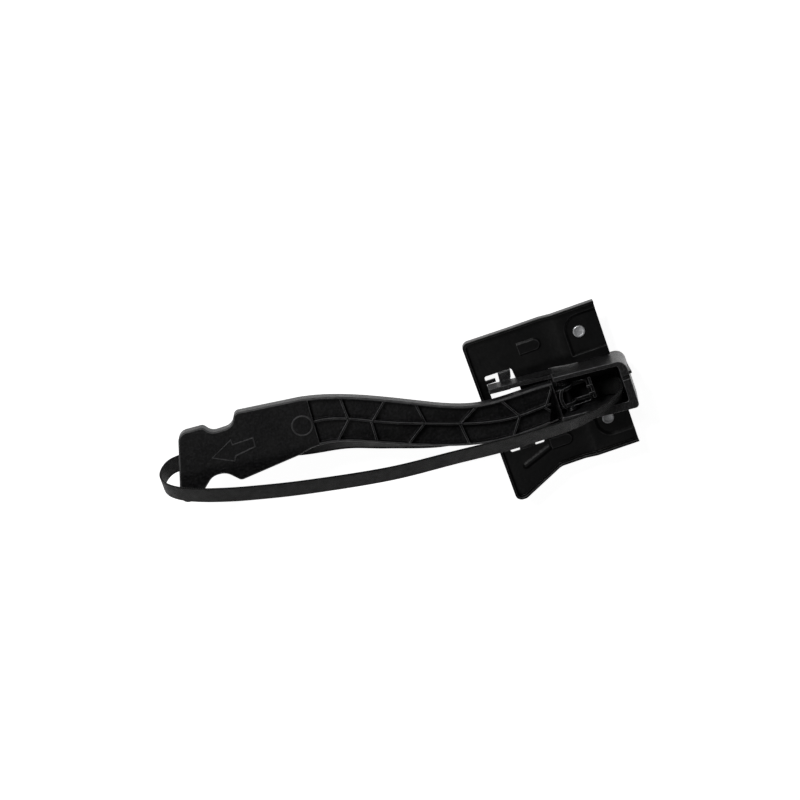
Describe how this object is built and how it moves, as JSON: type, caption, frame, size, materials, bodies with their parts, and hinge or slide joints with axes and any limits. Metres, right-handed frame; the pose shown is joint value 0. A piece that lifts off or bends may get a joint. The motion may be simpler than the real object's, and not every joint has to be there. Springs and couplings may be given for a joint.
{
  "type": "hood release handle",
  "caption": "Hood release handle: long ribbed plastic lever with a T-grip, hinged in a guide housing on a pressed steel bracket plate, with a return spring and a webbing strap",
  "frame": {"origin": "midway between the two stud axes, on the mounting plane at the back of the housing's ears", "axes": "X along the plate, away from the grip; Y from the lower stud to the upper stud; Z out of the panel, towards the user"},
  "size_m": [0.3625, 0.1521, 0.0802],
  "materials": {
    "coated_steel": "black electrocoat, semi-gloss",
    "bright_steel": "zinc plated",
    "housing_plastic": "fine texture, satin",
    "pin_steel": "black oxide",
    "lever_plastic": "glass-filled nylon, satin",
    "spring_steel": "black phosphated wire",
    "webbing": "woven nylon"
  },
  "bodies": {
    "mounting": {"bracket_plate": "coated_steel", "stud_upper": "bright_steel", "stud_lower": "bright_steel", "sleeve_upper": "bright_steel", "sleeve_lower": "bright_steel", "guide_housing": "housing_plastic", "pivot_pin": "pin_steel"},
    "lever": {"handle_lever": "lever_plastic", "return_spring": "spring_steel", "strap": "webbing"}
  },
  "joints": [
    {"name": "handle_swing", "type": "hinge", "parent": "mounting", "child": "lever", "pos_m": [-0.0237, -0.0047, 0.017], "axis": [0, 1, 0], "range_deg": [0, 14], "stiffness_Nm_per_rad": 1.2, "springref_deg": -34.38, "deforming": ["return_spring", "strap"]}
  ]
}
